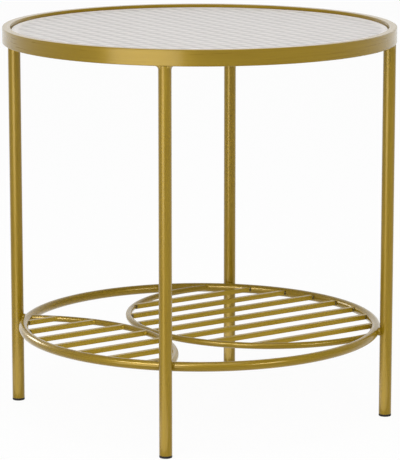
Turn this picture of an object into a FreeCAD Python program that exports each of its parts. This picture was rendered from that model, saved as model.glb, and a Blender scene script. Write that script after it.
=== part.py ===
import FreeCAD, Part
import os
import Sketcher

# Tiered side table: a round rim of rectangular tube on four straight tube legs, with a drop-in glass top.
# Low between the legs hangs a rack: a tube ring that holds two fans of slats, each framed by a curved rod.
# Lengths are in millimetres and angles in degrees. The origin is on the floor under the middle,
# +Z is up and +X runs along the slats, towards the large fan.

# Driving sizes
SIZES = {
    # whole table: outside of the rim, and floor to the top of the rim
    "table_diameter": "500",
    "table_height": "500",
    # rim: rectangular tube on edge, rolled into a hoop
    "rim_depth": "20",
    "rim_width": "10",
    "rim_wall": "1.2",
    "rim_corner": "1",
    # legs: round tube, their outer side flush with the outside of the rim
    "leg_diameter": "16",
    "leg_wall": "1.2",
    "leg_azimuth": "45",
    # feet: plastic plugs with a flange as wide as the leg
    "foot_flange": "3",
    "foot_edge": "0.6",
    "foot_plug_length": "18",
    "foot_plug_wall": "1.8",
    "foot_plug_lead": "0.8",
    "foot_fit": "0.15",
    # glass: a loose round panel that lies on its seats, below the top of the rim
    "glass_thickness": "5",
    "glass_gap": "1.5",
    "glass_arris": "0.6",
    # glass seats: a flat tab inside the rim at each leg, with a soft bumper pushed through it; the margin
    # runs from the bumper's head to the end of the tab, and the gap from the bumper's barb to the leg's weld
    "tab_thickness": "3",
    "tab_margin": "4",
    "tab_width": "28",
    "tab_corner": "6",
    "bumper_diameter": "12",
    "bumper_height": "8",
    "bumper_edge": "1",
    "bumper_leg_gap": "2",
    "bumper_stem": "5",
    "bumper_barb": "7",
    "bumper_tail": "4",
    "bumper_fit": "0.2",
    # rack ring: round tube just inside the legs, measured to its centre line
    "rack_height": "110.5",
    "ring_tube": "12",
    "ring_wall": "1",
    "ring_leg_gap": "0.5",
    # fans: two curved rods, back to back, that meet beside the table's axis and land on the ring
    "arc_rod": "8",
    "arc_meeting": "78",
    "arc_gap": "0.5",
    "large_arc_landing": "51",
    "small_arc_landing": "135",
    # slats: square bars, their tops a little below the tops of the curved rods; the margin runs from
    # the outermost slat's centre line to the corner of the narrower fan
    "slat_side": "6",
    "slat_end_margin": "26",
    "slat_drop": "0.4",
    # welds
    "leg_weld": "5",
    "rack_weld": "5",
    "arc_weld": "3.5",
}
LEG_TURNS = {"back": 0, "left": 1, "front": 2, "right": 3}
SLATS_A_SIDE = 3

doc = FreeCAD.newDocument("tiered_side_table")
sheet = doc.addObject("Spreadsheet::Sheet", "sizes")
for row, (name, value) in enumerate(SIZES.items(), start=1):
    sheet.set(f"A{row}", name)
    sheet.set(f"B{row}", value)
    sheet.setAlias(f"B{row}", name)
doc.recompute()

# Places that several pieces share, worked out from the driving sizes
TABLE_RADIUS = "sizes.table_diameter / 2"
RIM_INSIDE = "(sizes.table_diameter / 2 - sizes.rim_width)"
RIM_UNDERSIDE = "(sizes.table_height - sizes.rim_depth)"
LEG_RADIUS = "sizes.leg_diameter / 2"
LEG_CIRCLE = "(sizes.table_diameter - sizes.leg_diameter) / 2"
GLASS_UNDERSIDE = f"({RIM_UNDERSIDE} + sizes.tab_thickness + sizes.bumper_height)"
LEG_WELD_INSIDE = f"({LEG_CIRCLE} - {LEG_RADIUS} - sizes.leg_weld)"
BUMPER_CIRCLE = f"({LEG_WELD_INSIDE} - sizes.bumper_leg_gap - sizes.bumper_barb / 2)"
RING_RADIUS = f"({LEG_CIRCLE} - {LEG_RADIUS} - sizes.ring_leg_gap - sizes.ring_tube / 2)"
ARC_SPACING = "(sizes.arc_rod + sizes.arc_gap) / 2"
SLAT_UNDERSIDE = "(sizes.rack_height + sizes.arc_rod / 2 - sizes.slat_drop - sizes.slat_side)"
FAN_CORNER = f"{RING_RADIUS} * min(sin(sizes.small_arc_landing); sin(sizes.large_arc_landing))"
SLAT_PITCH = f"(({FAN_CORNER} - sizes.slat_end_margin) / {SLATS_A_SIDE})"

subparts = []


def number(expression):
    return float(sheet.evalExpression(expression))


def bind(item, expressions):
    for path, expression in expressions.items():
        item.setExpression(path, expression)
    return item


def keep(item, label):
    """Give a finished piece its own label and list it with the sub-parts."""
    item.Label = label
    subparts.append(item)
    return item


def new_body(label):
    return keep(doc.addObject("PartDesign::Body", label), label)


def new_sketch(body, role):
    sketch = body.newObject("Sketcher::SketchObject", f"{body.Name}_profile")
    plane = next(feature for feature in body.Origin.OriginFeatures if feature.Role == role)
    sketch.AttachmentSupport = [(plane, "")]
    sketch.MapMode = "FlatFace"
    return sketch


def pin_point(sketch, edge, end, x, y):
    """Fix a point of the sketch at a pair of expressions; a zero lies on the axis."""
    for kind, expression, axis in (("DistanceX", x, -2), ("DistanceY", y, -1)):
        if expression == "0":
            sketch.addConstraint(Sketcher.Constraint("PointOnObject", edge, end, axis))
        else:
            index = sketch.addConstraint(Sketcher.Constraint(kind, -1, 1, edge, end, number(expression)))
            sketch.setExpression(f"Constraints[{index}]", expression)


def draw_outline(sketch, corners):
    """Draw a closed run of straight edges through corners given as pairs of expressions."""
    places = [FreeCAD.Vector(number(x), number(y), 0) for x, y in corners]
    ends = places[1:] + places[:1]
    edges = [sketch.addGeometry(Part.LineSegment(a, b), False) for a, b in zip(places, ends)]
    for edge, following in zip(edges, edges[1:] + edges[:1]):
        sketch.addConstraint(Sketcher.Constraint("Coincident", edge, 2, following, 1))
    for edge, (x, y) in zip(edges, corners):
        pin_point(sketch, edge, 1, x, y)


def draw_circle(sketch, x, y, diameter):
    centre = FreeCAD.Vector(number(x), number(y), 0)
    circle = Part.Circle(centre, FreeCAD.Vector(0, 0, 1), number(diameter) / 2)
    edge = sketch.addGeometry(circle, False)
    pin_point(sketch, edge, 3, x, y)
    index = sketch.addConstraint(Sketcher.Constraint("Diameter", edge, number(diameter)))
    sketch.setExpression(f"Constraints[{index}]", diameter)


def draw_rectangle(sketch, left, right, bottom, top):
    draw_outline(sketch, [(left, bottom), (right, bottom), (right, top), (left, top)])


def pad(body, sketch, length):
    feature = body.newObject("PartDesign::Pad", f"{body.Name}_pad")
    feature.Profile = sketch
    bind(feature, {"Length": length})
    doc.recompute()
    return feature


def revolve(body, sketch):
    feature = body.newObject("PartDesign::Revolution", f"{body.Name}_turned")
    feature.Profile = sketch
    feature.ReferenceAxis = (sketch, ["V_Axis"])
    doc.recompute()
    return feature


def dress_edges(body, base, kind, size, wanted):
    """Round or bevel the edges of the base feature for which wanted(edge) is true."""
    names = [f"Edge{i}" for i, edge in enumerate(base.Shape.Edges, start=1) if wanted(edge)]
    feature = body.newObject(f"PartDesign::{kind}", f"{body.Name}_{kind.lower()}")
    feature.Base = (base, names)
    bind(feature, {"Size" if kind == "Chamfer" else "Radius": size})
    doc.recompute()


def is_circle_at(edge, radius, height):
    """True for a circle about the upright axis, of this radius and at this height in the body."""
    if not isinstance(edge.Curve, Part.Circle):
        return False
    same_radius = abs(edge.Curve.Radius - radius) < Part.Precision.confusion()
    return same_radius and abs(edge.Curve.Center.z - height) < Part.Precision.confusion()


def leg_turn(turn):
    return f"(sizes.leg_azimuth + {turn} * 360 / {len(LEG_TURNS)})"


def place_round(item, radius, turn, height):
    """Stand a piece at a leg's azimuth, at this distance from the axis, turned to face outwards."""
    item.Placement.Rotation = FreeCAD.Rotation(FreeCAD.Vector(0, 0, 1), number(leg_turn(turn)))
    return bind(item, {
        "Placement.Base.x": f"{radius} * cos({leg_turn(turn)})",
        "Placement.Base.y": f"{radius} * sin({leg_turn(turn)})",
        "Placement.Base.z": height,
        "Placement.Rotation.Angle": leg_turn(turn),
    })


def make(kind, name, expressions):
    return bind(doc.addObject(f"Part::{kind}", name), expressions)


def combine(kind, name, base, tool):
    result = doc.addObject(f"Part::{kind}", name)
    result.Base = base
    result.Tool = tool
    return result


# Rim: the hollow section, turned about the table's axis
rim = new_body("top_rim")
rim_section = new_sketch(rim, "XZ_Plane")
draw_rectangle(rim_section, RIM_INSIDE, TABLE_RADIUS, RIM_UNDERSIDE, "sizes.table_height")
draw_rectangle(
    rim_section,
    f"{RIM_INSIDE} + sizes.rim_wall",
    f"{TABLE_RADIUS} - sizes.rim_wall",
    f"{RIM_UNDERSIDE} + sizes.rim_wall",
    "sizes.table_height - sizes.rim_wall",
)
rim_hoop = revolve(rim, rim_section)
RIM_CORNERS = [(radius, height) for radius in (RIM_INSIDE, TABLE_RADIUS)
               for height in (RIM_UNDERSIDE, "sizes.table_height")]
dress_edges(rim, rim_hoop, "Fillet", "sizes.rim_corner", lambda edge: any(
    is_circle_at(edge, number(radius), number(height)) for radius, height in RIM_CORNERS))

# Glass: a round panel with its two sharp edges taken off
glass = new_body("glass_panel")
bind(glass, {"Placement.Base.z": GLASS_UNDERSIDE})
glass_outline = new_sketch(glass, "XY_Plane")
draw_circle(glass_outline, "0", "0", f"2 * ({RIM_INSIDE} - sizes.glass_gap)")
glass_disc = pad(glass, glass_outline, "sizes.glass_thickness")
dress_edges(glass, glass_disc, "Chamfer", "sizes.glass_arris",
            lambda edge: isinstance(edge.Curve, Part.Circle))


def make_leg(side, turn):
    leg = new_body(f"leg_{side}")
    place_round(leg, LEG_CIRCLE, turn, "sizes.foot_flange")
    section = new_sketch(leg, "XY_Plane")
    draw_circle(section, "0", "0", "sizes.leg_diameter")
    draw_circle(section, "0", "0", "sizes.leg_diameter - 2 * sizes.leg_wall")
    pad(leg, section, f"{RIM_UNDERSIDE} - sizes.foot_flange")


def make_foot(side, turn):
    """A flange that meets the floor and a hollow plug that slides into the leg."""
    foot = new_body(f"foot_{side}")
    place_round(foot, LEG_CIRCLE, turn, "0")
    plug = f"({LEG_RADIUS} - sizes.leg_wall - sizes.foot_fit)"
    plug_top = "(sizes.foot_flange + sizes.foot_plug_length)"
    section = new_sketch(foot, "XZ_Plane")
    draw_outline(section, [
        ("0", "0"),
        (LEG_RADIUS, "0"),
        (LEG_RADIUS, "sizes.foot_flange"),
        (plug, "sizes.foot_flange"),
        (plug, f"{plug_top} - sizes.foot_plug_lead"),
        (f"{plug} - sizes.foot_plug_lead", plug_top),
        (f"{plug} - sizes.foot_plug_wall", plug_top),
        (f"{plug} - sizes.foot_plug_wall", "sizes.foot_flange"),
        ("0", "sizes.foot_flange"),
    ])
    turned = revolve(foot, section)
    dress_edges(foot, turned, "Fillet", "sizes.foot_edge",
                lambda edge: is_circle_at(edge, number(LEG_RADIUS), 0))


def make_tab(side, turn):
    """A flat plate on top of the leg, its outer end curved to the inside of the rim."""
    tab = new_body(f"glass_tab_{side}")
    place_round(tab, "0", turn, RIM_UNDERSIDE)
    inner_end = f"{BUMPER_CIRCLE} - sizes.bumper_diameter / 2 - sizes.tab_margin"
    half_width = "sizes.tab_width / 2"
    outer_end = f"sqrt({RIM_INSIDE} ^ 2 - ({half_width}) ^ 2)"
    section = new_sketch(tab, "XY_Plane")
    near, far, half = number(inner_end), number(outer_end), number(half_width)
    corners = [FreeCAD.Vector(x, y, 0) for x, y in ((near, half), (near, -half), (far, -half), (far, half))]
    tip = FreeCAD.Vector(number(RIM_INSIDE), 0, 0)
    end_edge = section.addGeometry(Part.LineSegment(corners[0], corners[1]), False)
    right_edge = section.addGeometry(Part.LineSegment(corners[1], corners[2]), False)
    rim_edge = section.addGeometry(Part.Arc(corners[2], tip, corners[3]), False)
    left_edge = section.addGeometry(Part.LineSegment(corners[3], corners[0]), False)
    loop = [end_edge, right_edge, rim_edge, left_edge]
    for edge, following in zip(loop, loop[1:] + loop[:1]):
        section.addConstraint(Sketcher.Constraint("Coincident", edge, 2, following, 1))
    section.addConstraint(Sketcher.Constraint("Coincident", rim_edge, 3, -1, 1))
    section.addConstraint(Sketcher.Constraint("Horizontal", right_edge))
    section.addConstraint(Sketcher.Constraint("Symmetric", end_edge, 1, end_edge, 2, -1))
    pin_point(section, end_edge, 1, inner_end, half_width)
    pin_point(section, rim_edge, 2, outer_end, half_width)
    draw_circle(section, BUMPER_CIRCLE, "0", "sizes.bumper_stem + 2 * sizes.bumper_fit")
    plate = pad(tab, section, "sizes.tab_thickness")
    dress_edges(tab, plate, "Fillet", "sizes.tab_corner", lambda edge: is_inner_corner(edge, plate))


def is_inner_corner(edge, plate):
    """True for an upright straight edge at the end of the plate that is nearest to the table's axis."""
    if not isinstance(edge.Curve, Part.Line) or edge.BoundBox.ZLength < plate.Shape.BoundBox.ZLength / 2:
        return False
    return FreeCAD.Vector(edge.CenterOfMass.x, edge.CenterOfMass.y, 0).Length < number(BUMPER_CIRCLE)


def make_bumper(side, turn):
    """A soft round head under the glass, with a stem through the tab and a barb below it."""
    bumper = new_body(f"glass_bumper_{side}")
    place_round(bumper, BUMPER_CIRCLE, turn, f"{RIM_UNDERSIDE} - sizes.bumper_tail")
    stem = "sizes.bumper_stem / 2"
    head = "sizes.bumper_diameter / 2"
    tab_top = "(sizes.bumper_tail + sizes.tab_thickness)"
    head_top = f"({tab_top} + sizes.bumper_height)"
    section = new_sketch(bumper, "XZ_Plane")
    draw_outline(section, [
        ("0", "0"),
        (stem, "0"),
        ("sizes.bumper_barb / 2", "sizes.bumper_tail"),
        (stem, "sizes.bumper_tail"),
        (stem, tab_top),
        (head, tab_top),
        (head, head_top),
        ("0", head_top),
    ])
    turned = revolve(bumper, section)
    dress_edges(bumper, turned, "Fillet", "sizes.bumper_edge",
                lambda edge: is_circle_at(edge, number(head), number(head_top)))


for side, turn in LEG_TURNS.items():
    make_leg(side, turn)
    make_foot(side, turn)
    make_tab(side, turn)
    make_bumper(side, turn)

# Rack ring: the hollow section, turned about the table's axis
ring = new_body("rack_ring")
ring_section = new_sketch(ring, "XZ_Plane")
draw_circle(ring_section, RING_RADIUS, "sizes.rack_height", "sizes.ring_tube")
draw_circle(ring_section, RING_RADIUS, "sizes.rack_height", "sizes.ring_tube - 2 * sizes.ring_wall")
revolve(ring, ring_section)


def make_hoop(name, centre, radius, rod):
    """A closed hoop of rod at the rack's height."""
    return make("Torus", name, {
        "Radius1": radius,
        "Radius2": f"{rod} / 2",
        "Placement.Base.x": centre,
        "Placement.Base.z": "sizes.rack_height",
    })


def make_bore(name, hoop, centre, radius, rod):
    """The room inside a hoop: what ends at the hoop is cut to fit its round side."""
    drum = make("Cylinder", f"{name}_drum", {
        "Radius": radius,
        "Height": f"2 * {rod}",
        "Placement.Base.x": centre,
        "Placement.Base.z": f"sizes.rack_height - {rod}",
    })
    return combine("Cut", name, drum, hoop)


def make_fan(fan, middle, landing):
    """A curved rod from the ring to its middle and back to the ring, with slats across to the ring.

    The middle is the rod's place on the X axis. The landing is the azimuth at which it meets the ring,
    so the circle through these three points gives its centre and radius.
    """
    centre = f"(({RING_RADIUS} ^ 2 - {middle} ^ 2) / 2 / ({RING_RADIUS} * cos({landing}) - {middle}))"
    radius = f"abs({centre} - {middle})"
    hoop = make_hoop(f"{fan}_hoop", centre, radius, "sizes.arc_rod")
    arc = keep(combine("Common", f"{fan}_hoop_inside_ring", hoop, ring_bore), f"{fan}_fan_arc")
    fan_bore = make_bore(f"{fan}_bore", hoop, centre, radius, "sizes.arc_rod")
    fan_room = combine("Common", f"{fan}_room", ring_bore, fan_bore)
    for index, steps in enumerate(range(-SLATS_A_SIDE, SLATS_A_SIDE + 1), start=1):
        bar = make("Box", f"{fan}_bar_{index}", {
            "Length": "sizes.table_diameter",
            "Width": "sizes.slat_side",
            "Height": "sizes.slat_side",
            "Placement.Base.x": f"-{TABLE_RADIUS}",
            "Placement.Base.y": f"{steps} * {SLAT_PITCH} - sizes.slat_side / 2",
            "Placement.Base.z": SLAT_UNDERSIDE,
        })
        keep(combine("Common", f"{fan}_bar_{index}_cut", bar, fan_room), f"{fan}_slat_{index}")
    return arc


# Fans: what lies inside the ring is cut to its round side
ring_hoop = make_hoop("ring_hoop", "0", RING_RADIUS, "sizes.ring_tube")
ring_bore = make_bore("ring_bore", ring_hoop, "0", RING_RADIUS, "sizes.ring_tube")
large_arc = make_fan("large", f"({ARC_SPACING} - sizes.arc_meeting)", "sizes.large_arc_landing")
small_arc = make_fan("small", f"(-{ARC_SPACING} - sizes.arc_meeting)", "sizes.small_arc_landing")


def make_leg_weld(side, turn):
    """The fillet round the top of a leg, kept inside the flat of the rim's underside."""
    flare = place_round(make("Cone", f"leg_flare_{side}", {
        "Radius1": LEG_RADIUS,
        "Radius2": f"{LEG_RADIUS} + sizes.leg_weld",
        "Height": "sizes.leg_weld",
    }), LEG_CIRCLE, turn, f"{RIM_UNDERSIDE} - sizes.leg_weld")
    trimmed = combine("Common", f"leg_flare_trimmed_{side}", flare, rim_flat)
    return combine("Cut", f"leg_fillet_{side}", trimmed, make_leg_core(side, turn))


def make_leg_core(side, turn):
    """The leg as a full round bar, for cutting the welds to its surface."""
    return place_round(make("Cylinder", f"leg_core_{side}", {
        "Radius": LEG_RADIUS,
        "Height": "sizes.table_height",
    }), LEG_CIRCLE, turn, "0")


def make_rack_weld(side, turn):
    """The bead that fills the gap between a leg and the rack ring."""
    blob = place_round(make("Sphere", f"rack_blob_{side}", {"Radius": "sizes.rack_weld"}),
                       f"({LEG_CIRCLE} - {LEG_RADIUS} - sizes.ring_leg_gap / 2)", turn, "sizes.rack_height")
    beside_leg = combine("Cut", f"rack_blob_beside_leg_{side}", blob, doc.getObject(f"leg_core_{side}"))
    return combine("Cut", f"rack_bead_{side}", beside_leg, ring_hoop)


# Welds: one node for the legs' fillets, one for the rack's beads, one where the curved rods meet
rim_flat = make("Cylinder", "rim_flat", {
    "Radius": f"{TABLE_RADIUS} - sizes.rim_corner",
    "Height": "sizes.table_height",
})
leg_fillets = doc.addObject("Part::Compound", "leg_fillets")
leg_fillets.Links = [make_leg_weld(side, turn) for side, turn in LEG_TURNS.items()]
keep(leg_fillets, "leg_welds")
rack_beads = doc.addObject("Part::Compound", "rack_beads")
rack_beads.Links = [make_rack_weld(side, turn) for side, turn in LEG_TURNS.items()]
keep(rack_beads, "rack_welds")
arc_blob = make("Sphere", "arc_blob", {
    "Radius": "sizes.arc_weld",
    "Placement.Base.x": "-sizes.arc_meeting",
    "Placement.Base.z": "sizes.rack_height",
})
arc_bead = combine("Cut", "arc_blob_beside_large", arc_blob, large_arc)
keep(combine("Cut", "arc_bead", arc_bead, small_arc), "arc_weld")

doc.recompute()

failed = [item.Name for item in doc.Objects if {"Invalid", "Error"} & set(item.State)]
if failed:
    raise SystemExit(f"these objects failed: {failed}")
for item in subparts:
    if item.Shape.isNull() or not item.Shape.isValid() or not item.Shape.Solids:
        raise SystemExit(f"no sound solid: {item.Label}")

os.makedirs("parts", exist_ok=True)
for item in subparts:
    item.Shape.exportStep(f"parts/{item.Label}.step")
    box = item.Shape.BoundBox
    print(f"{item.Label}: {len(item.Shape.Solids)} solid(s), {item.Shape.Volume:.0f} mm3, "
          f"{box.XLength:.1f} x {box.YLength:.1f} x {box.ZLength:.1f} mm")
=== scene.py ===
# %% [markdown]
# # A tiered side table
# The table is a gold tube frame with a patterned glass top and a low rack made of two fans of slats.
# CAD already holds every tube, bar and foot at its real size, so this lesson dresses that frame: a satin
# gold finish, a glass panel with a real relief, weld beads where tubes meet, and a plain white studio.

# %% Load the CAD frame
import math

import bmesh
import bpy
import numpy as np
from mathutils import Matrix, Vector


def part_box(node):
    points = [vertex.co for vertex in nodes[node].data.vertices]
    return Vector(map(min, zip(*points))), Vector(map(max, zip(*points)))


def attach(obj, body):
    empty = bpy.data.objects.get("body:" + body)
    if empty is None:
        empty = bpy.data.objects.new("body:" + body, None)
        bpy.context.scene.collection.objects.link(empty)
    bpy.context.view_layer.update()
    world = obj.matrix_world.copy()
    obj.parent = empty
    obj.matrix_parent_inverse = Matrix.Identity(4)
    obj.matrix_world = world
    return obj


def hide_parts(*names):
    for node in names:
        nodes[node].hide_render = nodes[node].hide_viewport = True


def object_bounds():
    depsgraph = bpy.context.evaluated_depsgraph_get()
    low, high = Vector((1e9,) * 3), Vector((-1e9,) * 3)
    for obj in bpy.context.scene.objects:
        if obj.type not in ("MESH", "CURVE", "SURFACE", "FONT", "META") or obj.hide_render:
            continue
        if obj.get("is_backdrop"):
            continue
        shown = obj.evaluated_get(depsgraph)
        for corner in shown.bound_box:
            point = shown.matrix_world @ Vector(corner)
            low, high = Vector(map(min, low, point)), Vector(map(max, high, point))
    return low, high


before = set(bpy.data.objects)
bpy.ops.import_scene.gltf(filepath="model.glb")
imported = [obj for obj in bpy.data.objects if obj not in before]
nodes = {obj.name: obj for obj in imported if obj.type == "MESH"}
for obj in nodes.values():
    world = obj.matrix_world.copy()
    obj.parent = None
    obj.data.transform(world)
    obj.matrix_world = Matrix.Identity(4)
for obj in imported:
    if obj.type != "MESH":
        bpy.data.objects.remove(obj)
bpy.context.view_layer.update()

# %% [markdown]
# ## Measures
# Every new piece has to sit where the frame is, so nothing is placed by eye. The boxes of a few nodes give
# the radii and levels of the table. They are in metres, with the floor at zero and +X along the slats.

# %% Read the table's measures from the frame
rim_low, rim_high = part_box("top_rim")
glass_low, glass_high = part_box("glass_panel")
ring_low, ring_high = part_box("rack_ring")
slat_low, slat_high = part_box("large_slat_4")
leg_low, leg_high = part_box("leg_front")

SIDES = ("back", "left", "front", "right")
leg_places = {}
for side in SIDES:
    low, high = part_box(f"leg_{side}")
    leg_places[side] = ((low + high) / 2).xy
leg_radius = (leg_high.x - leg_low.x) / 2
rim_radius = rim_high.x
ring_tube = (ring_high.z - ring_low.z) / 2
ring_radius = ring_high.x - ring_tube
rack_level = (ring_low.z + ring_high.z) / 2
print(f"rim {rim_radius:.4f}, ring {ring_radius:.4f}, leg {leg_radius:.4f}, rack at {rack_level:.4f}")


# %% [markdown]
# The two curved rods of the fans are parts of circles whose centres lie on the X axis. A point on such a
# circle obeys x^2 + y^2 = 2 c x + (r^2 - c^2), so the points of a rod's mesh give c and r by least squares.

# %% Find the circle of each curved rod
def rod_circle(name):
    """Centre on X, radius and half thickness of a curved rod."""
    low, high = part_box(name)
    points = np.array([vert.co[:2] for vert in nodes[name].data.vertices])
    system = np.column_stack((2 * points[:, 0], np.ones(len(points))))
    centre, rest = np.linalg.lstsq(system, (points ** 2).sum(axis=1), rcond=None)[0]
    return float(centre), math.sqrt(rest + centre ** 2), (high.z - low.z) / 2


rods = {fan: rod_circle(f"{fan}_fan_arc") for fan in ("large", "small")}
for fan, (centre, radius, half_rod) in rods.items():
    print(f"{fan} fan: centre {centre:.4f}, radius {radius:.4f}, rod {2 * half_rod:.4f}")


# %% [markdown]
# ## A short way to write nodes
# A finish is a small tree of shader nodes. Written out, each node takes four or five lines, which hides what
# the tree does. One helper makes a node, sets its options and joins its inputs in one call, and two more give
# arithmetic and ramps a line each.

# %% Node helpers
def new_finish(name):
    """A new material and the two things its recipe needs: the node tree and the main shader."""
    finish = bpy.data.materials.new(name)
    finish.use_nodes = True
    return finish, finish.node_tree, finish.node_tree.nodes["Principled BSDF"]


def join(tree, socket, value):
    """Give a socket a value, or join another node's output to it."""
    if isinstance(value, bpy.types.NodeSocket):
        tree.links.new(value, socket)
    else:
        socket.default_value = value


def set_sockets(tree, node, values):
    """Fill several sockets of a node, each found by its name or number."""
    for socket, value in values.items():
        join(tree, node.inputs[socket], value)


def put(tree, kind, inputs=None, **options):
    """Add a node, set its options and fill its sockets."""
    made = tree.nodes.new(f"ShaderNode{kind}")
    for option, value in options.items():
        setattr(made, option, value)
    set_sockets(tree, made, inputs or {})
    return made


def calc(tree, operation, *values):
    """One step of arithmetic on sockets or numbers."""
    return put(tree, "Math", dict(enumerate(values)), operation=operation).outputs["Value"]


def ramp(tree, value, start, end, low=0, high=1):
    """A straight ramp from low at start to high at end, level beyond them."""
    inputs = {"Value": value, "From Min": start, "From Max": end, "To Min": low, "To Max": high}
    return put(tree, "MapRange", inputs).outputs["Result"]


# %% [markdown]
# Each finish needs the same three things: a noise that breaks up the surface, two tones for it to mix, and a
# fine bump. A noise stays near its middle value, so it is stretched before it mixes anything.

# %% Noise, tones and bump
NOISE_DETAIL = 3
NOISE_LOW = 0.3
NOISE_HIGH = 0.7
print("noise is stretched from the range", NOISE_LOW, "to", NOISE_HIGH)


def noise(tree, place, scale, detail=NOISE_DETAIL):
    """A cloudy value between zero and one at these coordinates."""
    return put(tree, "TexNoise", {"Vector": place, "Scale": scale, "Detail": detail}).outputs["Fac"]


def spread(tree, value, low, high):
    """Stretch a noise over the range from low to high."""
    return ramp(tree, value, NOISE_LOW, NOISE_HIGH, low, high)


def two_tones(tree, share, first, second):
    """Mix two colours. The sockets of a Mix node share their names, so they go by number."""
    return put(tree, "Mix", {0: share, 6: first, 7: second}, data_type="RGBA").outputs[2]


def bump(tree, height, strength, depth, under=None):
    """Raise the surface by a noise, on top of another bump where there is one."""
    inputs = {"Strength": strength, "Distance": depth, "Height": height}
    if under is not None:
        inputs["Normal"] = under
    return put(tree, "Bump", inputs).outputs["Normal"]


# %% [markdown]
# ## Satin gold
# The frame is steel tube and bar under satin gold paint, with a thin clear lacquer over it. The pigment
# scatters light like any paint, so a tube keeps one even tone, and a few metal flakes warm its lights. The
# lacquer hardly shows face on, but it turns pale where a tube curves away from the eye. Fine lines run along
# each tube from the grinding before it was painted. They could be an image, but a noise that is squeezed
# along the tube needs no unwrapping. Legs, slats and hoops run different ways, so the recipe takes the
# direction: upright, along X, or round an axis.

# %% Grain directions
GRAIN_STRETCH = 0.03
print(f"the lines are {1 / GRAIN_STRETCH:.0f} times as long as they are wide")


def grain_along(tree, place, scale):
    """Squeeze the coordinates along one axis, so that noise draws out into lines."""
    return put(tree, "Mapping", {"Vector": place, "Scale": scale}).outputs["Vector"]


def reach_of(tree, parts):
    """Distance from the upright axis."""
    flat = put(tree, "CombineXYZ", {"X": parts["X"], "Y": parts["Y"]}).outputs["Vector"]
    return put(tree, "VectorMath", {0: flat}, operation="LENGTH").outputs["Value"]


def grain_round(tree, place, centre, radius):
    """Unroll the coordinates about an upright axis, so that lines follow a hoop."""
    moved = put(tree, "Mapping", {"Vector": place, "Location": (-centre, 0, 0)}).outputs["Vector"]
    parts = put(tree, "SeparateXYZ", {"Vector": moved}).outputs
    turn = calc(tree, "ARCTAN2", parts["Y"], parts["X"])
    along = calc(tree, "MULTIPLY", turn, radius * GRAIN_STRETCH)
    unrolled = {"X": reach_of(tree, parts), "Y": along, "Z": parts["Z"]}
    return put(tree, "CombineXYZ", unrolled).outputs["Vector"]


# %% [markdown]
# The recipe mixes a deep and a pale gold along the lines, and the same noise makes the paint a little
# smoother or rougher. The slats have a paler gold, which is painted light that makes up for the shade of
# the glass above the rack, and a thinner lacquer, because their tops stay plain even at a slant. Most of
# the small tacks that hold them are darker, which is painted shade in the corners at the ring and the
# large rod.

# %% The gold recipe
GOLD_DEEP = (0.275, 0.171, 0.003, 1)
GOLD_PALE = (0.315, 0.203, 0.008, 1)
BAND_SCALE = 380
LINE_SCALE = 1400
LINE_STRENGTH = 0.12
POWDER_SCALE = 1100
POWDER_STRENGTH = 0.10
PAINT_DEPTH = 0.0002
PAINT_SMOOTH = 0.26
PAINT_ROUGH = 0.34
FLAKE_SHARE = 0.2
BINDER_GLOSS = 0.1
LACQUER = 0.9
LACQUER_ROUGHNESS = 0.18
LACQUER_IOR = 1.3
print("paint roughness", PAINT_SMOOTH, "to", PAINT_ROUGH, "under lacquer of", LACQUER_ROUGHNESS)


def satin_gold(name, grain, deep=GOLD_DEEP, pale=GOLD_PALE, lacquer=LACQUER):
    """Gold paint on steel; grain(tree, place) returns the coordinates that its fine lines follow."""
    finish, tree, shader = new_finish(name)
    place = put(tree, "TexCoord").outputs["Object"]
    drawn = grain(tree, place)
    bands = noise(tree, drawn, BAND_SCALE)
    lines = bump(tree, noise(tree, drawn, LINE_SCALE), LINE_STRENGTH, PAINT_DEPTH)
    powder = bump(tree, noise(tree, place, POWDER_SCALE), POWDER_STRENGTH, PAINT_DEPTH, lines)
    set_sockets(tree, shader, {
        "Base Color": two_tones(tree, spread(tree, bands, 0, 1), deep, pale),
        "Roughness": spread(tree, bands, PAINT_SMOOTH, PAINT_ROUGH),
        "Normal": powder,
        "Metallic": FLAKE_SHARE,
        "Specular IOR Level": BINDER_GLOSS,
        "Coat Weight": lacquer,
        "Coat Roughness": LACQUER_ROUGHNESS,
        "Coat IOR": LACQUER_IOR,
    })
    return finish


# %% The gold of tubes, slats, hoops and tacks
# Paler gold for the slats: painted light for the shade that the glass casts on the rack.
SLAT_LIT_DEEP = (0.370, 0.241, 0.014, 1)
SLAT_LIT_PALE = (0.420, 0.280, 0.022, 1)
SLAT_LACQUER = 0.35
# Dark tones for the tacks at the ring and the large rod: painted shade in the corners between the parts.
TACK_SHADE_DEEP = (0.070, 0.044, 0.002, 1)
TACK_SHADE_PALE = (0.130, 0.085, 0.005, 1)


def rod_gold(fan):
    """Gold whose lines follow the curved rod of one fan."""
    centre, radius = rods[fan][:2]
    return satin_gold(f"gold_{fan}_rod", lambda tree, place: grain_round(tree, place, centre, radius))


gold_upright = satin_gold("gold_upright", lambda tree, place: grain_along(tree, place, (1, 1, GRAIN_STRETCH)))
# The slats' paler gold is painted light, not a different paint.
gold_slats_lit = satin_gold("gold_slats_lit", lambda tree, place: grain_along(tree, place, (GRAIN_STRETCH, 1, 1)),
                        SLAT_LIT_DEEP, SLAT_LIT_PALE, SLAT_LACQUER)
gold_hoops = satin_gold("gold_hoops", lambda tree, place: grain_round(tree, place, 0, ring_radius))
gold_rods = {fan: rod_gold(fan) for fan in rods}
gold_shaded = satin_gold("gold_shaded", lambda tree, place: place, TACK_SHADE_DEEP, TACK_SHADE_PALE)
print("gold finishes:", [m.name for m in bpy.data.materials if m.name.startswith("gold")])

# %% [markdown]
# ## Small plastics
# The feet are black plastic plugs with the fine matte skin of a mould and a few dull scuffs. Plain black
# would do at this size, but a skin and scuffs keep it from looking like a hole in the picture.

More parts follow.
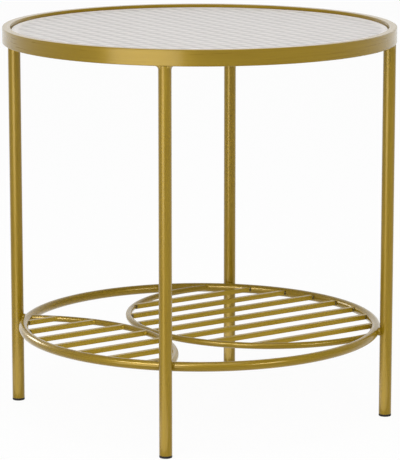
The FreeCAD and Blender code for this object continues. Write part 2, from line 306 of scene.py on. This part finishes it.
# %% Black plastic
BLACK_DEEP = (0.010, 0.009, 0.008, 1)
BLACK_WORN = (0.022, 0.020, 0.018, 1)
BLACK_SMOOTH = 0.45
BLACK_ROUGH = 0.60
BLACK_GLOSS = 0.2
MOULD_SCALE = 2500
MOULD_STRENGTH = 0.25
MOULD_DEPTH = 0.0001
SCUFF_SCALE = 120
SCUFF_DETAIL = 5

black_plastic, tree, shader = new_finish("moulded_black")
place = put(tree, "TexCoord").outputs["Object"]
scuffs = noise(tree, place, SCUFF_SCALE, SCUFF_DETAIL)
set_sockets(tree, shader, {
    "Base Color": two_tones(tree, spread(tree, scuffs, 0, 1), BLACK_DEEP, BLACK_WORN),
    "Roughness": spread(tree, scuffs, BLACK_SMOOTH, BLACK_ROUGH),
    "Normal": bump(tree, noise(tree, place, MOULD_SCALE), MOULD_STRENGTH, MOULD_DEPTH),
    "Specular IOR Level": BLACK_GLOSS,
})
print("feet:", black_plastic.name, "with", len(tree.nodes), "nodes")

# %% [markdown]
# The bumpers under the glass are soft clear silicone, which always looks a little milky. Light goes part of
# the way through it, so the shader mixes some transmission with a pale haze.

# %% Silicone
MILK_DEEP = (0.62, 0.62, 0.60, 1)
MILK_PALE = (0.78, 0.78, 0.76, 1)
MILK_SCALE = 300
MILK_SMOOTH = 0.30
MILK_ROUGH = 0.45
MILK_CLEAR = 0.4

silicone, tree, shader = new_finish("milky_silicone")
haze = noise(tree, put(tree, "TexCoord").outputs["Object"], MILK_SCALE)
set_sockets(tree, shader, {
    "Base Color": two_tones(tree, spread(tree, haze, 0, 1), MILK_DEEP, MILK_PALE),
    "Roughness": spread(tree, haze, MILK_SMOOTH, MILK_ROUGH),
    "Transmission Weight": MILK_CLEAR,
})
print("bumpers:", silicone.name, "with", len(tree.nodes), "nodes")


# %% [markdown]
# ## Dress the CAD nodes
# The tubes, bars, feet and bumpers already have the right shape, so they stay as they are and only take a
# finish. A node's name says what it is, and that picks the recipe.

# %% Give each node its finish
def finish_for(name):
    """The finish that belongs to a node's name."""
    if name.startswith("foot"):
        return black_plastic
    if name.startswith("glass_bumper"):
        return silicone
    if name.startswith("leg_"):
        return gold_upright
    if "slat" in name:
        return gold_slats_lit
    if name.endswith("fan_arc"):
        return gold_rods[name.split("_")[0]]
    return gold_hoops


for name, node in nodes.items():
    node.data.materials.clear()
    node.data.materials.append(finish_for(name))
print("dressed", len(nodes), "nodes")


# %% [markdown]
# ## From bmesh to piece
# A new piece starts as a bmesh. Its doubles are merged, its normals are turned outwards, and it becomes an
# object at the origin that rides on a CAD body. Smooth shading with sharp edges above an angle keeps round
# surfaces round and flat ones crisp.

# %% Turn a bmesh into a piece
MERGE_DISTANCE = 1e-6
SHARP_ANGLE = math.radians(40)


def make_piece(bm, name, finish, body):
    """Clean a bmesh up and make it an object that rides on a body."""
    bmesh.ops.remove_doubles(bm, verts=bm.verts[:], dist=MERGE_DISTANCE)
    bmesh.ops.recalc_face_normals(bm, faces=bm.faces[:])
    for face in bm.faces:
        face.smooth = True
    mesh = bpy.data.meshes.new(name)
    bm.to_mesh(mesh)
    bm.free()
    mesh.set_sharp_from_angle(angle=SHARP_ANGLE)
    mesh.materials.append(finish)
    piece = bpy.data.objects.new(name, mesh)
    bpy.context.scene.collection.objects.link(piece)
    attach(piece, body)
    mesh.calc_loop_triangles()
    print(f"{name}: {len(mesh.loop_triangles)} triangles")
    return piece


# %% [markdown]
# ## Patterned glass
# The top is a loose pane of rolled glass. Its underside is smooth, and its upper side carries a relief of
# small soft diamonds, with a narrow flat border where the edge was ground. A bump map would draw that from
# above, but seen at a slant, and at the edge of the pane, the light needs a real surface. So the upper side
# starts as a grid, each cell gets a cushion, and the sheet is trimmed to a circle with cutting planes.

# %% Press the relief and trim it round
RELIEF_PITCH = 0.0185
RELIEF_HEIGHT = 0.0009
RELIEF_TURN = math.radians(-7)
RELIEF_BORDER = 0.012
RELIEF_FADE = 0.006
RELIEF_CUTS = 6
SPARE_CELLS = 2
CUSHION_POWER = 0.7
GLASS_SIDES = 160
GLASS_ARRIS = 0.0006

glass_radius = glass_high.x
border_start = glass_radius - RELIEF_BORDER
glass_bm = bmesh.new()
cells = 2 * math.ceil(glass_radius / RELIEF_PITCH) + SPARE_CELLS
bmesh.ops.create_grid(glass_bm, x_segments=cells * RELIEF_CUTS, y_segments=cells * RELIEF_CUTS,
                      size=cells * RELIEF_PITCH / 2)


def cushion(x, y):
    """Share of the relief's height: one in a diamond's middle and on the border, zero along the grooves."""
    waves = math.sin(math.pi * x / RELIEF_PITCH) * math.sin(math.pi * y / RELIEF_PITCH)
    border = (math.hypot(x, y) - border_start) / RELIEF_FADE
    return max(abs(waves) ** CUSHION_POWER, min(border, 1))


for vert in glass_bm.verts:
    vert.co.z = glass_high.z - RELIEF_HEIGHT * (1 - cushion(vert.co.x, vert.co.y))
bmesh.ops.rotate(glass_bm, verts=glass_bm.verts[:], matrix=Matrix.Rotation(RELIEF_TURN, 3, "Z"))
for step in range(GLASS_SIDES):
    turn = 2 * math.pi * step / GLASS_SIDES
    outward = Vector((math.cos(turn), math.sin(turn), 0))
    sheet = glass_bm.verts[:] + glass_bm.edges[:] + glass_bm.faces[:]
    bmesh.ops.bisect_plane(glass_bm, geom=sheet, plane_co=outward * (glass_radius - GLASS_ARRIS),
                           plane_no=outward, clear_outer=True)
print("relief:", cells, "cells across,", len(glass_bm.faces), "faces")


# %% [markdown]
# The edge of a tempered pane is ground: a small arris at the top, an upright wall and an arris below. The
# boundary of the trimmed sheet is extruded down in three steps that follow this profile, and the last loop is
# filled with the underside.

# %% Draw down the wall, the arrises and the underside
def draw_out(bm, edges, level, radius):
    """Extrude a rim loop to a new level and radius, and return the new loop."""
    made = bmesh.ops.extrude_edge_only(bm, edges=edges)["geom"]
    for vert in (v for v in made if isinstance(v, bmesh.types.BMVert)):
        vert.co.xy *= radius / vert.co.xy.length
        vert.co.z = level
    return [e for e in made if isinstance(e, bmesh.types.BMEdge)]


loop = [edge for edge in glass_bm.edges if edge.is_boundary]
for level, radius in (
    (glass_high.z - GLASS_ARRIS, glass_radius),
    (glass_low.z + GLASS_ARRIS, glass_radius),
    (glass_low.z, glass_radius - GLASS_ARRIS),
):
    loop = draw_out(glass_bm, loop, level, radius)
bmesh.ops.edgeloop_fill(glass_bm, edges=loop)
print("pane:", len(glass_bm.faces), "faces,", len(loop), "edges round the underside")

# %% [markdown]
# The glass itself is pale and milky, so what lies below it shows only as a soft shade. Part of the light
# goes through and part is scattered. The grooves between the diamonds are darker than the diamonds: painted
# shade that stands in for the shading of the relief. So the recipe repeats the cushion's formula with nodes,
# turned the same way. A slow haze breaks up the shine.

# %% The glass recipe and the finished pane
# The darker groove tone is painted shade for the shading of the relief.
GROOVE_SHADE_TONE = (0.60, 0.575, 0.555, 1)
DIAMOND_TONE = (0.99, 0.955, 0.93, 1)
GLASS_SMOOTH = 0.34
GLASS_ROUGH = 0.40
GLASS_CLEAR = 0.35
GLASS_IOR = 1.5
HAZE_SCALE = 9
FROST_SCALE = 600
FROST_STRENGTH = 0.05
FROST_DEPTH = 0.0002


def diamond_share(tree, place):
    """The cushion's formula in nodes."""
    turned = put(tree, "Mapping", {"Vector": place, "Rotation": (0, 0, -RELIEF_TURN)}).outputs["Vector"]
    parts = put(tree, "SeparateXYZ", {"Vector": turned}).outputs
    waves = [calc(tree, "SINE", calc(tree, "MULTIPLY", parts[axis], math.pi / RELIEF_PITCH)) for axis in "XY"]
    crossed = calc(tree, "ABSOLUTE", calc(tree, "MULTIPLY", *waves))
    diamond = calc(tree, "POWER", crossed, CUSHION_POWER)
    border = ramp(tree, reach_of(tree, parts), border_start, border_start + RELIEF_FADE)
    return calc(tree, "MAXIMUM", diamond, border)


rolled_glass, tree, shader = new_finish("rolled_glass")
place = put(tree, "TexCoord").outputs["Object"]
set_sockets(tree, shader, {
    "Base Color": two_tones(tree, diamond_share(tree, place), GROOVE_SHADE_TONE, DIAMOND_TONE),
    "Roughness": spread(tree, noise(tree, place, HAZE_SCALE), GLASS_SMOOTH, GLASS_ROUGH),
    "Normal": bump(tree, noise(tree, place, FROST_SCALE), FROST_STRENGTH, FROST_DEPTH),
    "Transmission Weight": GLASS_CLEAR,
    "IOR": GLASS_IOR,
})
glass = make_piece(glass_bm, "patterned_glass", rolled_glass, "glass")
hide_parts("glass_panel")

# %% [markdown]
# ## Welds
# The frame is welded, and each joint carries a small bead under the gold. At the top of a leg the bead has
# been ground to a hollow fillet. A turned profile makes it: the profile is spun about the leg, and whatever
# would stand past the rim is pressed back to it.

# %% Fillets at the tops of the legs
WELD_STEPS = 48
WELD_BURY = 0.0004
ARC_POINTS = 7
RIPPLES = 19
RIPPLE_DEPTH = 0.00012
RIM_CORNER = 0.001

weld_low, weld_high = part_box("leg_welds")
fillet = weld_high.z - weld_low.z
rim_flat = rim_radius - RIM_CORNER


def add_leg_fillet(bm, place):
    """Spin a hollow fillet about a leg, from the leg's side to the underside of the rim."""
    inner = leg_radius - WELD_BURY
    profile = [(inner, WELD_BURY), (inner, -fillet - WELD_BURY), (leg_radius, -fillet)]
    for index in range(1, ARC_POINTS):
        turn = math.pi - math.pi / 2 * index / ARC_POINTS
        profile.append((leg_radius + fillet * (1 + math.cos(turn)), fillet * (math.sin(turn) - 1)))
    profile += [(leg_radius + fillet, 0), (leg_radius + fillet, WELD_BURY)]
    verts = [bm.verts.new((reach, 0, level)) for reach, level in profile]
    edges = [bm.edges.new(pair) for pair in zip(verts, verts[1:] + verts[:1])]
    before = set(bm.verts) - set(verts)
    bmesh.ops.spin(bm, geom=verts + edges, cent=(0, 0, 0), axis=(0, 0, 1), angle=2 * math.pi,
                   steps=WELD_STEPS, use_merge=True)
    for vert in set(bm.verts) - before:
        reach = vert.co.xy.length
        if reach > leg_radius:
            turn = math.atan2(vert.co.y, vert.co.x)
            vert.co.xy *= 1 + RIPPLE_DEPTH * math.sin(RIPPLES * turn) / reach
        vert.co += Vector((place.x, place.y, rim_low.z))
        past = vert.co.xy.length / rim_flat
        if past > 1:
            vert.co.xy /= past


fillet_bm = bmesh.new()
for place in leg_places.values():
    add_leg_fillet(fillet_bm, place)
leg_fillets = make_piece(fillet_bm, "leg_fillets", gold_hoops, "frame")
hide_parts("leg_welds")

# %% [markdown]
# The rack hangs on four beads between its ring and the legs, and the two curved rods share one bead where
# they touch. A bead could be sculpted, but most of it is sunk into the two pieces that it joins, so a sphere
# pulled into the shape of a drop and ridged a little by the welding arc is enough.

# %% Beads of the rack
BEAD_SEGMENTS = 20
BEAD_RINGS = 12
BEAD_RIDGE = 0.03
RIDGES_UP = 9
RIDGES_OUT = 4
RACK_BEAD = (0.0045, 0.0058, 0.0054)
ROD_BEAD = (0.0030, 0.0062, 0.0034)


def add_bead(bm, place, half_sizes, turn=0, segments=BEAD_SEGMENTS, rings=BEAD_RINGS):
    """A ridged ellipsoid of these half sizes, turned about the upright axis."""
    made = bmesh.ops.create_uvsphere(bm, u_segments=segments, v_segments=rings, radius=1)["verts"]
    for vert in made:
        vert.co *= 1 + BEAD_RIDGE * math.sin(RIDGES_UP * vert.co.z) * math.cos(RIDGES_OUT * vert.co.x)
    bmesh.ops.scale(bm, verts=made, vec=half_sizes)
    bmesh.ops.rotate(bm, verts=made, matrix=Matrix.Rotation(turn, 3, "Z"))
    bmesh.ops.translate(bm, verts=made, vec=place)


bead_bm = bmesh.new()
for place in leg_places.values():
    seat = place.normalized() * (ring_radius + ring_tube)
    add_bead(bead_bm, (seat.x, seat.y, rack_level), RACK_BEAD, math.atan2(seat.y, seat.x))
rack_beads = make_piece(bead_bm, "rack_beads", gold_hoops, "frame")
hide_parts("rack_welds")

large_centre, large_radius = rods["large"][:2]
small_centre, small_radius = rods["small"][:2]
meeting = (large_centre - large_radius + small_centre + small_radius) / 2
rod_bm = bmesh.new()
add_bead(rod_bm, (meeting, 0, rack_level), ROD_BEAD)
rod_bead = make_piece(rod_bm, "rod_bead", gold_hoops, "frame")
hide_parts("arc_weld")

# %% [markdown]
# Each end of a slat is tacked in both corners, where its sides meet the ring or the curved rod. The side of a
# slat gives y, and the circle of the ring or rod gives x, so the corners need no list of places. There are 56
# of these tacks, and each is only a few millimetres long, so each has few faces. Those on the small rod take
# the slats' paler gold, and the others are dark, as painted shade in the corners at the ring and the large
# rod.

# %% Tacks at the ends of the slats
SLATS_A_FAN = 7
TACK = (0.0021, 0.0014, 0.0028)
TACK_SEGMENTS = 12
TACK_RINGS = 8
slat_level = (slat_low.z + slat_high.z) / 2


def circle_x(centre, radius, y, side):
    """The x at which a circle crosses this y, on one side of its centre."""
    return centre + side * math.sqrt(radius ** 2 - y ** 2)


# The tacks at the ring and the large rod get the dark gold, as painted shade in those corners.
shaded_bm = bmesh.new()
painted_bm = bmesh.new()
for fan, facing, rod_end_bm in (("large", -1, shaded_bm), ("small", 1, painted_bm)):
    centre, radius, half_rod = rods[fan]
    for index in range(1, SLATS_A_FAN + 1):
        low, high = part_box(f"{fan}_slat_{index}")
        for y in (low.y, high.y):
            at_ring = circle_x(0, ring_radius - ring_tube, y, -facing)
            at_rod = circle_x(centre, radius - half_rod, y, facing)
            for bm, x in ((shaded_bm, at_ring), (rod_end_bm, at_rod)):
                add_bead(bm, (x, y, slat_level), TACK, segments=TACK_SEGMENTS, rings=TACK_RINGS)
make_piece(shaded_bm, "shaded_tacks", gold_shaded, "frame")
make_piece(painted_bm, "painted_tacks", gold_slats_lit, "frame")

# %% [markdown]
# ## The camera
# The picture is a plain product shot, taken with a long lens from far away and a little above the table. A
# camera placed by eye would show the ring and the rim at the wrong slant, so these values were fitted until
# the edges of the table fell where they should.

# %% Camera
CAMERA_AZIMUTH = math.radians(-35.19)
CAMERA_PITCH = math.radians(11.038)
CAMERA_AIM = math.radians(0.007)
CAMERA_DISTANCE = 3.4269
CAMERA_HEIGHT = 0.9037
PICTURE_HEIGHT = 460
FOCAL_PIXELS = 2714.2
SENSOR = 36

camera = bpy.data.objects.new("camera", bpy.data.cameras.new("camera"))
bpy.context.scene.collection.objects.link(camera)
camera.data.sensor_width = SENSOR
camera.data.lens = FOCAL_PIXELS * SENSOR / PICTURE_HEIGHT
camera.location = (CAMERA_DISTANCE * math.sin(CAMERA_AZIMUTH), -CAMERA_DISTANCE * math.cos(CAMERA_AZIMUTH),
                   CAMERA_HEIGHT)
camera.rotation_euler = (math.pi / 2 - CAMERA_PITCH, 0, CAMERA_AZIMUTH - CAMERA_AIM)
bpy.context.scene.camera = camera
bpy.context.scene.view_settings.view_transform = "Standard"
print(f"camera at {tuple(round(x, 3) for x in camera.location)}, lens {camera.data.lens:.1f} mm")


# %% [markdown]
# ## The studio
# The table stands on white paper. More light would make the paper white, but it would bleach the table too.
# Instead the paper glows almost white on rays from the camera, from a mirror or through glass, and is plain
# paper for soft light. The small share that doesn't glow keeps a faint shadow.

# %% White paper
FLOOR_SIZE = 40
FLOOR_WHITE = 0.94
PAPER_TONE = (0.9, 0.9, 0.9, 1)
PAPER_ROUGHNESS = 0.9
WHITE = (1, 1, 1, 1)


def seen_ray(tree):
    """One for rays from the camera, from a mirror or through glass, and zero for soft light."""
    path = put(tree, "LightPath").outputs
    direct = calc(tree, "MAXIMUM", path["Is Camera Ray"], path["Is Glossy Ray"])
    return calc(tree, "MAXIMUM", direct, path["Is Transmission Ray"])


floor_bm = bmesh.new()
bmesh.ops.create_grid(floor_bm, x_segments=1, y_segments=1, size=FLOOR_SIZE / 2)
floor_mesh = bpy.data.meshes.new("floor")
floor_bm.to_mesh(floor_mesh)
floor_bm.free()
floor = bpy.data.objects.new("floor", floor_mesh)
bpy.context.scene.collection.objects.link(floor)
floor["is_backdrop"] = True

paper, tree, shader = new_finish("white_paper")
set_sockets(tree, shader, {"Base Color": PAPER_TONE, "Roughness": PAPER_ROUGHNESS})
glow = put(tree, "Emission", {"Color": WHITE, "Strength": 1}).outputs["Emission"]
share = calc(tree, "MULTIPLY", seen_ray(tree), FLOOR_WHITE)
mixed = put(tree, "MixShader", {0: share, 1: shader.outputs["BSDF"], 2: glow}).outputs["Shader"]
join(tree, tree.nodes["Material Output"].inputs["Surface"], mixed)
floor_mesh.materials.append(paper)
print("floor:", FLOOR_SIZE, "m wide")

# %% [markdown]
# The world is white for the camera and through the glass. In the gold it has to be a room, because metal in
# an even white world looks like plastic: a white sweep behind the table, a white wall at the left, grey at
# the right and in front, and a slightly darker ceiling. For soft light it is a pale sky, brightest low down.

# %% World
SIDE_GREY = 0.5
LEFT_WHITE = 0.95
CEILING_SHARE = 0.85
HORIZON_WHITE = 1.0
ZENITH_GREY = 0.55
BACK_REACH = (0.35, 0.85)
LEFT_REACH = (-0.2, -0.7)
CEILING_REACH = (0.08, 0.45)
SKY_REACH = (0.0, 0.8)


def either(tree, share, first, second):
    """Mix two numbers."""
    return put(tree, "Mix", {0: share, 2: first, 3: second}).outputs[0]


world = bpy.data.worlds.new("studio")
bpy.context.scene.world = world
world.use_nodes = True
tree = world.node_tree
path = put(tree, "LightPath").outputs
direction = put(tree, "TexCoord").outputs["Generated"]
turned = put(tree, "Mapping", {"Vector": direction, "Rotation": (0, 0, -CAMERA_AZIMUTH)}).outputs["Vector"]
parts = put(tree, "SeparateXYZ", {"Vector": turned}).outputs
sweep = ramp(tree, parts["Y"], *BACK_REACH, SIDE_GREY, 1)
left = ramp(tree, parts["X"], *LEFT_REACH, SIDE_GREY, LEFT_WHITE)
ceiling = ramp(tree, parts["Z"], *CEILING_REACH, 1, CEILING_SHARE)
room = calc(tree, "MULTIPLY", calc(tree, "MAXIMUM", sweep, left), ceiling)
sky = ramp(tree, parts["Z"], *SKY_REACH, HORIZON_WHITE, ZENITH_GREY)
clear = calc(tree, "MAXIMUM", path["Is Camera Ray"], path["Is Transmission Ray"])
strength = either(tree, clear, either(tree, path["Is Glossy Ray"], sky, room), 1)
set_sockets(tree, tree.nodes["Background"], {"Color": WHITE, "Strength": strength})
print("world:", len(tree.nodes), "nodes")


# %% [markdown]
# ## The lamps
# One wide softbox above the table fills everything. The other lamps only draw highlights, so they are seen in
# reflections alone. A low softbox at the left draws the long stripe on the legs and the rim, and two high
# ones draw the thin lines along the ring and the rods. On the glass and the rim the high ones would be a
# glare, so they are kept off them, as a photographer does with a black flag. A small one behind the table
# gives the ring its glint at the left.

# %% Softboxes
def add_lamp(name, place, size, watts, fills):
    """A soft lamp that the camera doesn't see. One that doesn't fill is seen in reflections alone."""
    lamp = bpy.data.lights.new(name, "AREA")
    lamp.shape = "RECTANGLE"
    lamp.size, lamp.size_y = size
    lamp.energy = watts
    made = bpy.data.objects.new(name, lamp)
    made.location = place
    made.visible_camera = False
    made.visible_diffuse = fills
    bpy.context.scene.collection.objects.link(made)
    print(f"{name}: {watts:.1f} W at {tuple(round(x, 3) for x in place)}")
    return made


def from_camera(azimuth):
    """The level direction at an azimuth that is counted from the camera's."""
    turn = CAMERA_AZIMUTH + math.radians(azimuth)
    return Vector((math.sin(turn), -math.cos(turn), 0))


def add_softbox(name, azimuth, distance, height, size, watts, fills):
    """A lamp on a stand that looks at the middle of the table."""
    place = from_camera(azimuth) * distance + Vector((0, 0, height))
    softbox = add_lamp(name, place, size, watts, fills)
    aim = Vector((0, 0, rim_high.z / 2)) - place
    softbox.rotation_euler = aim.to_track_quat("-Z", "Y").to_euler()
    return softbox


def choose_lit(lamp, pieces, state):
    """INCLUDE lights these pieces alone; EXCLUDE keeps the light off them, as a black flag does."""
    chosen = bpy.data.collections.new(f"{lamp.name}_pieces")
    for piece in pieces:
        chosen.objects.link(piece)
    for entry in chosen.collection_objects:
        entry.light_linking.link_state = state
    lamp.light_linking.receiver_collection = chosen


add_softbox("top_softbox", azimuth=0, distance=1.0, height=2.6, size=(1.8, 1.8), watts=27, fills=True)
left_softbox = add_softbox("left_softbox", azimuth=-29, distance=1.4, height=0.31, size=(1.0, 0.58),
                           watts=7.2, fills=False)
high_left = add_softbox("high_left", azimuth=-31, distance=1.9, height=1.65, size=(1.6, 0.36), watts=52,
                        fills=False)
high_right = add_softbox("high_right", azimuth=43, distance=2.4, height=1.28, size=(0.8, 0.35), watts=17,
                         fills=False)
for softbox in (high_left, high_right):
    choose_lit(softbox, [glass, nodes["top_rim"]], "EXCLUDE")
back_left = add_softbox("back_left", azimuth=-128, distance=1.6, height=0.69, size=(0.6, 0.3), watts=6.5,
                        fills=False)
choose_lit(back_left, [nodes["rack_ring"]], "INCLUDE")

# %% [markdown]
# Low down, an upright leg mirrors the floor and not the softbox, so its stripe would stop halfway. A bright
# card that lies on the floor, from the leg to the softbox, carries the stripe on to the foot. One wide card
# would pale the slats and the underside of the ring too, so each leg has a card that lights it alone. The
# glow is in watts a square metre: the farther a leg stands from the softbox, the brighter its card.

# %% A card on the floor for each leg
CARD_WIDTH = 0.36
CARD_START = 0.03
CARD_END = 0.02
CARD_LIFT = 0.002
CARD_GLOW = {"back": 9.5, "left": 6.0, "front": 5.5, "right": 6.2}

for side, place in leg_places.items():
    way = left_softbox.location.xy - place
    length = way.length - CARD_START - CARD_END
    middle = place + way.normalized() * (CARD_START + length / 2)
    card = add_lamp(f"{side}_card", Vector((middle.x, middle.y, CARD_LIFT)), (CARD_WIDTH, length),
                    CARD_GLOW[side] * CARD_WIDTH * length, fills=False)
    card.rotation_euler = (math.pi, 0, math.atan2(way.x, -way.y))
    choose_lit(card, [nodes[f"leg_{side}"]], "INCLUDE")

# %% Measure the bounds of the table
low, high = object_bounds()
